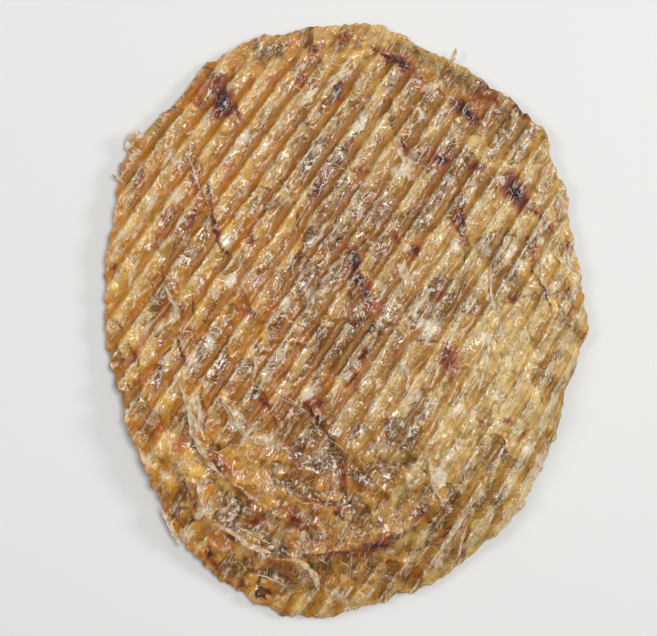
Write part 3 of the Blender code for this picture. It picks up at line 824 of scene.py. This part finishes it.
def skin_flakes(ground):
    """Small shards of crinkled skin that stand off the sheet all over."""
    rng = random.Random(12)
    mesh = skin_bmesh()
    for _ in range(SCATTERED_FLAKES):
        start = random_place(rng)
        path = bent_path(rng, start, RIDGE_ANGLE + rng.gauss(0, 0.7), (1.5, 5.5), (-0.25, 0.25))
        add_strip(mesh, ground, path, rng.uniform(0.6, 1.9), rng.uniform(0.2, 1.0), rng, 2)
    return make_skin("skin_flakes", mesh, FLAKE_THICKNESS)


def add_thread(curve, ground, path, radius, rng):
    """A tapering thread that lies on the sheet along a path."""
    line, ways = even_path(path, THREAD_STEP)
    seed = rng.random() * 50
    spline = curve.splines.new("POLY")
    spline.points.add(len(line) - 1)
    for k, ((x, y), (wx, wy)) in enumerate(zip(line, ways)):
        sway = 0.5 * noise.noise((k * 0.5, seed, 1))
        x, y = x - wy * sway, y + wx * sway
        lift = radius * 0.7 + 0.5 * max(0, noise.noise((k * 0.4, seed, 2)))
        share = k / (len(line) - 1)
        spline.points[k].co = (*ground.point(x, y, ground.height(x, y) + lift * MM), 1)
        spline.points[k].radius = (0.25 + 0.75 * math.sin(math.pi * share) ** 0.6) * radius


def threads_piece(name, ground, paths, rng):
    """One mesh of all the threads in the list of paths and radii."""
    curve = bpy.data.curves.new(name, "CURVE")
    curve.dimensions = "3D"
    curve.bevel_depth = MM
    curve.bevel_resolution = 1
    curve.use_fill_caps = True
    for path, radius in paths:
        add_thread(curve, ground, path, radius, rng)
    piece = bpy.data.objects.new(name, curve)
    bpy.context.scene.collection.objects.link(piece)
    bpy.ops.object.select_all(action="DESELECT")
    bpy.context.view_layer.objects.active = piece
    piece.select_set(True)
    bpy.ops.object.convert(target="MESH")
    piece = bpy.context.object
    bpy.ops.object.shade_smooth()
    return piece


def fibres(ground):
    rng = random.Random(14)
    paths = list(FIBRES)
    for _ in range(SCATTERED_FIBRES):
        start = random_place(rng)
        turn = RIDGE_ANGLE + rng.choice([0, 0, 1.5, 2.4]) + rng.gauss(0, 0.4)
        path = bent_path(rng, start, turn, (2.5, 8), (-0.3, 0.3))
        paths.append((path, rng.uniform(0.07, 0.16)))
    return threads_piece("fish_fibres", ground, paths, rng)


def charred_curl(ground):
    return threads_piece("charred_curl", ground, [(CHARRED_CURL, 0.7)], random.Random(15))


# ---------------------------------------------------------------- materials


def paint(*screen):
    """A colour as seen on a screen (0 to 255), as the linear colour that a shader takes."""
    return (*(((c / 255 + 0.055) / 1.055) ** 2.4 if c > 10 else c / 3294 for c in screen), 1)


class Value:
    """A number or colour that varies over a surface. Sums on it add Math nodes."""

    def __init__(self, look, socket):
        self.look, self.socket = look, socket

    def math(self, operation, *terms):
        return self.look.node("ShaderNodeMath", {"operation": operation}, dict(enumerate(terms)))

    def __add__(self, other):
        return self.math("ADD", self, other)

    def __sub__(self, other):
        return self.math("SUBTRACT", self, other)

    def __rsub__(self, other):
        return self.math("SUBTRACT", other, self)

    def __mul__(self, other):
        return self.math("MULTIPLY", self, other)

    def __truediv__(self, other):
        return self.math("DIVIDE", self, other)

    __radd__, __rmul__ = __add__, __mul__

    def size(self):
        return self.math("ABSOLUTE", self)

    def part(self):
        return self.math("FRACT", self)

    def most(self, other):
        return self.math("MAXIMUM", self, other)

    def away(self, place):
        """How far a share from 0 to 1 lies from a place, where 1 is next to 0."""
        return 0.5 - ((self - place).size() - 0.5).size()

    def step(self, low, high):
        """0 at low and 1 at high, easing in between; low may be the larger."""
        if low > high:
            return 1 - self.step(high, low)
        settings = {"interpolation_type": "SMOOTHSTEP"}
        sockets = {"Value": self, "From Min": low, "From Max": high}
        return self.look.node("ShaderNodeMapRange", settings, sockets)


class Look:
    """A material that is built up node by node."""

    def __init__(self, name):
        self.material = bpy.data.materials.new(name)
        self.material.use_nodes = True
        self.tree = self.material.node_tree
        self.shader = self.tree.nodes["Principled BSDF"]

    def node(self, kind, settings, sockets, output=0):
        made = self.tree.nodes.new(kind)
        for name, value in settings.items():
            setattr(made, name, value)
        for name, value in sockets.items():
            self.feed(made.inputs[name], value)
        return Value(self, made.outputs[output])

    def feed(self, socket, value):
        if isinstance(value, Value):
            self.tree.links.new(value.socket, socket)
        else:
            socket.default_value = value

    def set(self, **values):
        """Sets or links the shader's sockets, named with _ for each space."""
        for name, value in values.items():
            self.feed(self.shader.inputs[name.replace("_", " ")], value)

    def attribute(self, name, output="Fac"):
        return self.node("ShaderNodeAttribute", {"attribute_name": name}, {}, output)

    def place(self):
        return self.node("ShaderNodeTexCoord", {}, {}, "Object")

    def axis(self, vector, name):
        return self.node("ShaderNodeSeparateXYZ", {}, {0: vector}, name)

    def stretched(self, vector, scale, turn=0.0):
        sockets = {"Vector": vector, "Rotation": (0, 0, turn), "Scale": scale}
        return self.node("ShaderNodeMapping", {"vector_type": "TEXTURE"}, sockets)

    def shaken(self, vector, size, amount):
        """The place, pushed about by noise."""
        sockets = {"Vector": vector, "Scale": 1 / size, "Detail": 1.0}
        push = self.node("ShaderNodeTexNoise", {}, sockets, "Color")
        push = self.node("ShaderNodeVectorMath", {"operation": "SCALE"}, {0: push, "Scale": amount * 2})
        return self.node("ShaderNodeVectorMath", {"operation": "ADD"}, {0: vector, 1: push})

    def noise(self, vector, size, detail=2.0, rough=0.5, warp=0.0):
        sockets = {"Vector": vector, "Scale": 1 / size, "Detail": detail, "Roughness": rough}
        return self.node("ShaderNodeTexNoise", {}, {**sockets, "Distortion": warp}, "Fac")

    def wrinkles(self, vector, size, sharp):
        """Winding crests, from 0 between them to 1 on them."""
        return (1 - (self.noise(vector, size, 2, 0.55, 0.7) - 0.5).size() * sharp).most(0.0)

    def mix(self, share, first, second, blend="MIX"):
        settings = {"data_type": "RGBA", "blend_type": blend, "clamp_factor": True}
        return self.node("ShaderNodeMix", settings, {0: share, 6: first, 7: second}, 2)

    def bump(self, height, distance, strength=1.0):
        sockets = {"Height": height, "Distance": distance, "Strength": strength}
        return self.node("ShaderNodeBump", {}, sockets)


class FishFlesh(Look):
    """Translucent amber flesh with milky pads, wet wrinkles, roasted spots and painted light and shade,
    built up in stages.
    """

    def __init__(self):
        super().__init__("fish_flesh")
        flat = self.flat = self.attribute("flat", "Vector")
        self.across, self.along = self.axis(flat, "X"), self.axis(flat, "Y")
        self.clouds = self.noise(flat, 18 * MM, 2, 0.5)
        self.mottle = self.noise(flat, 5 * MM, 3, 0.5, 0.4)
        self.grain = self.noise(flat, 1.4 * MM, 2, 0.5, 0.3)
        self.patch = self.noise(self.stretched(flat, (1, 1.7, 1)), 6 * MM, 3, 0.5, 0.3)
        self.wash = self.noise(self.stretched(flat, (1, 2.6, 1), 0.1), 3.6 * MM, 2, 0.5, 0.5)
        self.swayed = self.shaken(flat, 5 * MM, 1.1 * MM)
        masks = ("press", "relief", "slab", "tone", "browned", "whitened")
        self.pressed, self.relief, self.slab, self.tone, self.thick, self.thin = map(self.attribute, masks)
        self.clear = (self.attribute("clear") + (self.mottle - 0.5) * 0.8).step(0.1, 0.9)
        self.x = self.axis(self.place(), "X")
        self.side = (self.x + (self.clouds - 0.5) * 0.15).step(-0.075, 0.07)
        cloudy = (self.clouds - 0.5) * 0.3
        self.straight = (self.across / RIDGE_PITCH + cloudy).part()
        self.part = (self.across / RIDGE_PITCH + (self.mottle - 0.5) * 0.25 + cloudy).part()
        self.pad = self.part.away(0.22).step(0.43, 0.24) * self.pressed.step(0.1, 0.6)
        self.trough = self.part.step(0.42, 0.68) * self.part.step(0.9, 0.78) * self.pressed
        self.lively = 0.3 + 0.7 * self.pad.most(1 - self.pressed)

    def shade(self, *colours):
        """One colour all over or, of two, the first on the left side and the second on the right."""
        colours = [paint(*c) for c in colours]
        return self.mix(self.side, *colours) if len(colours) == 2 else colours[0]

    def tint(self, share, *colours, blend="MIX"):
        """Lays a shade over the colour that is there."""
        self.colour = self.mix(share, self.colour, self.shade(*colours), blend)

    def clear_flesh(self):
        """Orange on the left and khaki on the right, golden where thin, and brown in the hollows: thick
        flesh with painted shade.
        """
        depth = self.noise(self.flat, 11 * MM, 3, 0.5, 0.3) + self.relief * 0.07
        depth = depth + (self.slab - 0.5) * 0.22 + (self.thin - self.thick) * 0.12
        stain = self.noise(self.flat, 7 * MM, 3, 0.6, 0.5).step(0.52, 0.66)
        self.colour = self.shade((210, 134, 0), (200, 148, 52))
        self.tint(depth.step(0.52, 0.36) * 0.85, (140, 78, 2), (142, 92, 16))
        self.tint(depth.step(0.52, 0.68) * 0.85, (240, 178, 46), (236, 206, 132))
        self.tint(stain * 0.75, (154, 78, 6), (144, 86, 22))
        self.tint(self.clear * 0.6, (146, 102, 40))
        # painted shade in the hollows of the relief, over the thicker flesh there
        self.tint(self.relief.step(-0.1, -0.8) * 0.8, (86, 54, 14))

    def milky_skin(self):
        """Dry, milky skin, mostly on the pads, where it is partly a painted sheen."""
        lit = self.pad.most((1 - self.pressed) * 0.65)
        milk = self.patch * 1.2 + (lit - 0.45) * (0.4 - 0.16 * self.side)
        milk = milk + (self.tone - 0.5) * 0.24 + (self.slab - 0.5) * 0.38
        milk = milk + self.relief * 0.06 + (self.clouds - 0.5) * 0.5
        milk = (milk + (self.thin - self.thick) * 0.16 - self.clear * 0.3).step(0.5, 1.0)
        far = self.side * 1.2 + self.clouds - 0.6
        dry = self.mix(far, paint(238, 192, 100), paint(228, 194, 128))
        self.colour = self.mix(milk * 0.62, self.colour, dry)
        self.tint(self.thick * 0.85, (206, 160, 84), blend="MULTIPLY")
        lit = lit * (1 - self.clear * 0.7)
        # painted sheen on the lit pads
        self.tint(self.wash.step(0.5, 0.66) * lit * 0.45, (246, 220, 150))
        self.tint(self.wash.step(0.46, 0.32) * 0.4, (154, 92, 8), (156, 106, 30))

    def painted_ridge_shade(self):
        """Painted shade down each ridge from its crest to the trough, most in the middle of the sheet, and
        amber troughs.
        """
        falling = self.part.step(-0.05, 0.6) * self.part.step(0.92, 0.8) * self.pressed
        middle = (self.x + 25 * MM).size().step(95 * MM, 45 * MM)
        falling = falling * (0.2 + 0.8 * middle - 0.15 * self.side)
        # painted shade on the falling side of each ridge
        self.tint(falling, (208, 186, 136), blend="MULTIPLY")
        self.tint(self.trough * (0.7 - 0.4 * self.side), (184, 118, 4), (176, 128, 46))

    def wrinkles_of_skin(self):
        """Fine parallel folds that run across the pads here and along them there, and winding ones, with
        painted highlights.
        """
        push = (self.noise(self.flat, 6 * MM, 2, 0.5) - 0.5) * 7 * MM
        crossing = (self.along + push + self.across * (self.slab - 0.5) * 1.6) / (2.1 * MM)
        running = (self.across + push * 0.7 + self.along * (self.tone - 0.5) * 0.3) / (2.3 * MM)
        crossing, running = ((fold.part() - 0.5).size() * 2 for fold in (crossing, running))
        way = self.noise(self.flat, 11 * MM, 2, 0.5).step(0.47, 0.53)
        folds = crossing + (running - crossing) * way
        wrinkled = self.noise(self.flat, 6 * MM, 2, 0.5, 0.5).step(0.42, 0.62)
        wrinkled = wrinkled * (1 - self.clear * 0.8) * self.lively
        winding = self.wrinkles(self.stretched(self.flat, (1, 3.0, 1), 0.12), 3.2 * MM, 7)
        winding = winding * (1 - self.clear * 0.8) * self.lively
        # painted highlights on the crests of the folds and winding wrinkles
        self.tint(folds.step(0.6, 0.95) * wrinkled * 0.2, (240, 224, 184))
        self.tint(winding.step(0.6, 0.95) * self.grain.step(0.4, 0.6) * 0.4, (244, 230, 196))
        self.height = folds * wrinkled * 0.2 + winding * 0.22

    def strands(self):
        """Stringy flesh on the pads, along the ridges or here and there across them; its pale lines are
        partly painted highlights.
        """
        strands = self.noise(self.stretched(self.swayed, (1, 8, 1)), 0.75 * MM, 1, 0.5)
        crosswise = self.noise(self.stretched(self.swayed, (5, 1, 1), 0.2), 0.75 * MM, 1, 0.5)
        turned = self.noise(self.flat, 9 * MM, 1, 0.5).step(0.53, 0.57)
        strands = strands + (crosswise - strands) * turned
        stringy = self.noise(self.flat, 8 * MM, 2, 0.5).step(0.4, 0.6)
        stringy = stringy * self.pad * self.pressed * (1 - self.clear * 0.7)
        strands = (strands - 0.5) * (0.15 + 0.85 * stringy)
        # pale strands: partly a painted highlight on the stringy flesh
        self.tint(strands.step(0.05, 0.16) * 0.3, (248, 238, 212))
        self.tint(strands.step(-0.05, -0.16) * 0.25, (126, 80, 20))
        self.height = self.height + strands * 0.45

    def edges(self):
        """Painted highlights on the crests; the lips and dark feet of the overlapping flesh; the rim."""
        glint_patches = self.grain.step(0.36, 0.56) * self.noise(self.flat, 7 * MM, 2, 0.5).step(0.4, 0.6)
        crest = self.part.away(0).step(0.09, 0.01) * self.pressed.step(0.2, 0.6)
        # painted highlight along the crests
        self.tint(crest * glint_patches * (0.8 - 0.4 * self.side), (244, 232, 206))
        lip = self.attribute("lip") + (self.grain - 0.5) * 1.2 + (self.mottle - 0.5) * 0.8
        # pale lips of the overlapping flesh, partly a painted highlight
        self.tint(lip.step(0.6, 0.95) * 0.7, (238, 222, 196))
        foot = self.attribute("foot") + (self.grain - 0.5) * 0.9 + (self.mottle - 0.5) * 1.2
        # dark feet of the overlapping flesh: dark cracks with painted shade
        self.tint(foot.step(0.44, 0.9) * 0.9, (100, 46, 14))
        edge = self.attribute("rim").step(6 * MM, 0.3 * MM) * self.mottle.step(0.35, 0.6)
        # the thin rim: amber on the left, pale on the right, partly painted light shining through it
        self.tint(edge * 0.6, (214, 142, 54), (230, 192, 112))

    def marks(self):
        """Pale spots, one a painted highlight, and orange-red and roasted spots with ragged outlines."""
        pale = self.attribute("pale") + (self.grain - 0.5) * 0.5 + (self.patch - 0.5) * 0.6
        self.tint(pale.step(0.25, 0.8) * 0.85, (242, 228, 200))
        blush = self.attribute("blush") + (self.mottle - 0.5) * 0.6
        self.tint(blush.step(0.05, 0.9) * 0.7, (186, 84, 8))
        roast = self.attribute("roast") + (self.grain - 0.5) * 0.35 + (self.mottle - 0.5) * 0.5
        roast = roast + (self.wash - 0.5) * 0.4
        self.tint(roast.step(0.0, 0.44) * 0.8, (158, 76, 20))
        self.tint(roast.step(0.3, 0.64) * 0.88, (104, 42, 14))
        self.tint(roast.step(0.6, 0.92) * 0.92, (42, 14, 10))

    def crest_lines(self):
        """A broken painted highlight along each crest, with a line of painted shade beside it."""
        broken = self.pressed * (0.3 + 0.7 * self.side) * self.mottle.step(0.4, 0.55)
        pale = self.straight.away(0.03).step(0.045, 0.0) * broken
        dark = self.straight.away(0.93).step(0.06, 0.0) * broken
        # painted highlight along each crest
        self.tint(pale * 0.45, (234, 216, 172))
        # painted shade beside each crest
        self.tint(dark * 0.7, (96, 56, 14))
        self.height = self.height + pale * 0.3

    def glints(self):
        """Long thin lines where the wet skin puckers and catches the light."""
        glint = self.wrinkles(self.stretched(self.swayed, (1, 7, 1), 0.1), 2.6 * MM, 9)
        glint = glint * self.mottle.step(0.4, 0.56) * (1 - self.clear * 0.5) * self.lively
        self.tint(glint.step(0.4, 0.9) * 0.5, (252, 242, 220))
        self.height = self.height + glint * 0.2

    def wet_surface(self):
        """Wet skin over flesh that lets light in; duller on the clear windows and in the troughs."""
        lumps = self.noise(self.stretched(self.flat, (1, 2.4, 1), -0.1), 4 * MM, 2, 0.5, 0.4)
        height = self.height + lumps * self.lively * 0.65 + self.grain * 0.22
        rough = 0.14 + 0.12 * self.grain + 0.15 * self.clear + 0.12 * self.trough
        wet = (0.62 - 0.4 * self.clear) * (1 - self.trough * 0.7)
        self.set(Base_Color=self.colour, Roughness=rough, Normal=self.bump(height, MM))
        self.set(Subsurface_Weight=0.3, Subsurface_Radius=(0.7, 0.45, 0.2), Subsurface_Scale=1.4 * MM)
        self.set(IOR=1.5, Coat_Weight=wet, Coat_Roughness=0.08)


def fish_flesh():
    look = FishFlesh()
    look.clear_flesh()
    look.milky_skin()
    look.painted_ridge_shade()
    look.wrinkles_of_skin()
    look.strands()
    look.edges()
    look.marks()
    look.crest_lines()
    look.glints()
    look.wet_surface()
    return look.material


def loose_skin():
    """Amber skin with pale streaks along each strip, whitest at its loose edge."""
    look = Look("loose_skin")
    strip = look.attribute("strip", "Vector")
    mottle = look.noise(look.place(), 3 * MM, 3, 0.5, 0.4)
    streak = look.noise(look.stretched(strip, (1, 7, 0.001)), 0.5 * MM, 2, 0.6, 0.3)
    colour = look.mix(mottle.step(0.36, 0.6), paint(186, 132, 62), paint(222, 194, 142))
    colour = look.mix(streak.step(0.46, 0.36) * 0.6, colour, paint(136, 84, 32))
    white = (streak + look.axis(strip, "Z") * 0.08 + (mottle - 0.5) * 0.3).step(0.48, 0.62)
    colour = look.mix(white * 0.85, colour, paint(246, 238, 222))
    height = streak * 0.5 + mottle
    look.set(Base_Color=colour, Roughness=0.1 + 0.15 * mottle, Normal=look.bump(height, 0.25 * MM, 0.7))
    look.set(IOR=1.6)
    return look.material


def dry_fibre():
    look = Look("dry_fibre")
    mottle = look.noise(look.place(), 4 * MM, 3)
    look.set(Base_Color=look.mix(mottle.step(0.4, 0.6), paint(190, 146, 84), paint(226, 206, 164)))
    look.set(Roughness=0.3 + 0.2 * mottle)
    return look.material


def charred():
    look = Look("charred")
    mottle = look.noise(look.place(), 2 * MM, 3)
    look.set(Base_Color=look.mix(mottle.step(0.45, 0.6), paint(34, 22, 20), paint(88, 46, 28)))
    look.set(Roughness=0.25 + 0.2 * mottle, Normal=look.bump(mottle, 0.3 * MM))
    return look.material


def pale_floor():
    look = Look("pale_floor")
    look.set(Base_Color=(0.86, 0.855, 0.84, 1), Roughness=0.7)
    return look.material


# ---------------------------------------------------------------- stage

PIXEL = 0.44 * MM  # what one pixel of the photograph covers on the sheet
PICTURE = (657, 636)
SHEET_CENTRE = (347, 320.5)  # the sheet's middle in the picture
CAMERA_HEIGHT = 1.15
SENSOR = 36
FLOOR_SIZE = 4
LIGHTS = [  # name, place, size and power
    ("key", (1.2, 0.25, 0.8), 0.42, 6.5),
    ("overhead", (0.2, 0.1, 1.35), 0.38, 9.0),
    ("far_side", (-0.2, 1.1, 0.95), 0.5, 1.1),
    ("left_fill", (-1.0, 0.3, 0.9), 0.5, 4.1),
]
AMBIENT = ((1.0, 0.99, 0.97, 1), 0.15)  # colour and strength


def stage():
    """A pale floor, soft studio light and the camera straight above."""
    bpy.ops.object.select_all(action="DESELECT")
    bpy.ops.mesh.primitive_plane_add(size=FLOOR_SIZE)
    floor = bpy.context.object
    floor.name = "floor"
    floor.data.materials.append(pale_floor())

    camera = bpy.data.objects.new("camera", bpy.data.cameras.new("camera"))
    bpy.context.scene.collection.objects.link(camera)
    bpy.context.scene.camera = camera
    x, y = PICTURE[0] / 2 - SHEET_CENTRE[0], SHEET_CENTRE[1] - PICTURE[1] / 2
    camera.location = (x * PIXEL, y * PIXEL, CAMERA_HEIGHT)
    camera.data.sensor_width = SENSOR
    camera.data.lens = SENSOR * (CAMERA_HEIGHT - CROWN * 0.7) / (PICTURE[0] * PIXEL)
    camera.data.clip_end = 20

    for name, place, size, power in LIGHTS:
        soft_light(name, place, size, power)
    world = bpy.data.worlds.new("studio")
    bpy.context.scene.world = world
    world.use_nodes = True
    background = world.node_tree.nodes["Background"]
    background.inputs["Color"].default_value, background.inputs["Strength"].default_value = AMBIENT
    bpy.context.scene.view_settings.view_transform = "Standard"


def soft_light(name, place, size, power):
    """A square area light that faces the sheet."""
    light = bpy.data.lights.new(name, "AREA")
    light.size, light.energy = size, power
    lamp = bpy.data.objects.new(name, light)
    bpy.context.scene.collection.objects.link(lamp)
    lamp.location = place
    lamp.rotation_euler = Vector(place).to_track_quat("Z", "Y").to_euler()


# ---------------------------------------------------------------- the whole


def add_piece(piece, material):
    """Gives a piece its material and lets it ride on the body."""
    piece.data.materials.clear()
    piece.data.materials.append(material)
    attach(piece, BODY)


def main():
    sheet, shift = sheet_mesh()
    add_piece(sheet, fish_flesh())
    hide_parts(NODE)
    bpy.context.view_layer.update()
    ground = Ground(sheet, shift)
    skin = loose_skin()
    for piece in (skin_strips(ground), skin_flakes(ground)):
        add_piece(piece, skin)
    add_piece(fibres(ground), dry_fibre())
    add_piece(charred_curl(ground), charred())
    stage()


main()
